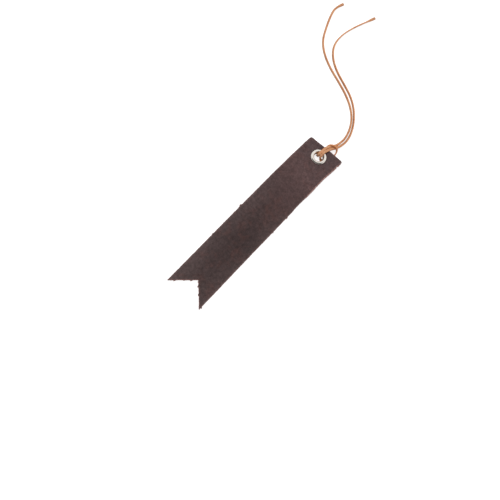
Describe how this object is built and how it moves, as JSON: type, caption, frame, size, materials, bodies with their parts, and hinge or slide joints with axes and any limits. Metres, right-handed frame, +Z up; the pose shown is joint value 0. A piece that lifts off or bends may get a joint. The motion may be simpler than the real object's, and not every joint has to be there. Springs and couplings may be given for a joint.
{
  "type": "leather bookmark",
  "caption": "Flat leather bookmark with a swallowtail end, a metal eyelet set with a washer, and a flat lace hitched through the eyelet with free tails.",
  "frame": {"origin": "on the table, under the middle of the box round the strip, eyelet and washer", "axes": "+X along the strip towards the eyelet, +Y to the left of it, +Z up out of the grain side"},
  "size_m": [0.2711, 0.0871, 0.0064],
  "materials": {
    "strip_leather": "dark brown waxed grain side, reddish brown suede flesh side and cut edges",
    "eyelet_metal": "polished nickel plate",
    "lace_leather": "tan flat lace, smooth faces and matt cut edges"
  },
  "bodies": {
    "bookmark": {"leather_strip": "strip_leather", "eyelet": "eyelet_metal", "washer": "eyelet_metal", "lace_hitch": "lace_leather"},
    "left_tail": {"lace_tail_left": "lace_leather"},
    "right_tail": {"lace_tail_right": "lace_leather"}
  },
  "joints": [
    {"name": "left_tail_swing", "type": "hinge", "parent": "bookmark", "child": "left_tail", "pos_m": [0.0872, -0.00446, 0.00283], "axis": [0, -1, 0], "range_deg": [-90, 105]},
    {"name": "right_tail_swing", "type": "hinge", "parent": "bookmark", "child": "right_tail", "pos_m": [0.0872, -0.00662, 0.00283], "axis": [0, -1, 0], "range_deg": [-90, 105]}
  ]
}
